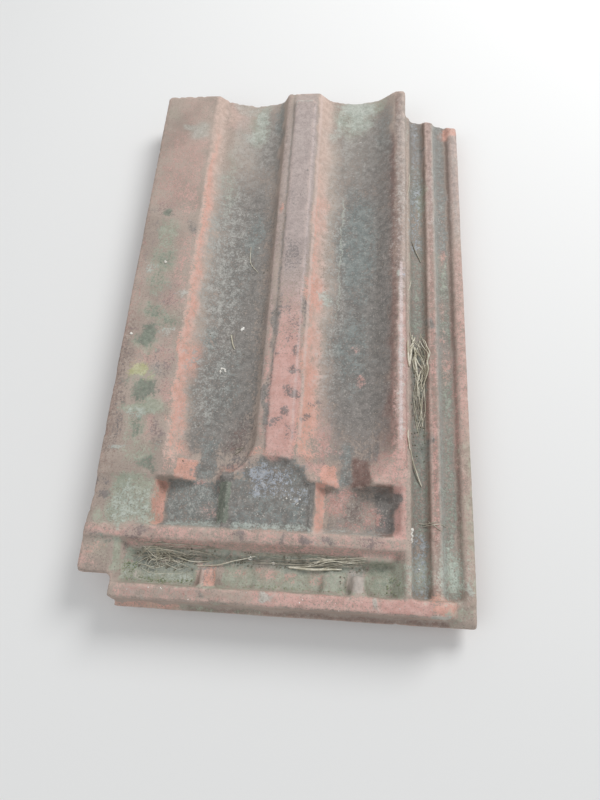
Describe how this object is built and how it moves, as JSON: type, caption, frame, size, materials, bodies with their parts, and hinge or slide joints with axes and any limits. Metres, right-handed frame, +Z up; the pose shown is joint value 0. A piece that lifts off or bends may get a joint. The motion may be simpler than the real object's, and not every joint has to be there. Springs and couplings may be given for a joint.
{
  "type": "clay roof tile",
  "caption": "Pressed interlocking clay roof tile: cover flap, two troughs that close in coves, raised rib between, grooved side interlock, pockets and channel at the head, batten lugs.",
  "frame": {"origin": "bottom centre of the bounding box: the plane of the lug feet and the hook rib, which the tile lies on", "axes": "+X across the tile from the cover flap to the side interlock, +Y along it from the head to the tail edge, +Z up out of the weather face"},
  "size_m": [0.256, 0.43, 0.0342],
  "materials": {
    "fired_clay": "unglazed fired clay, weathered, with lichen"
  },
  "bodies": {
    "root": {"roof_tile": "fired_clay"}
  },
  "joints": []
}
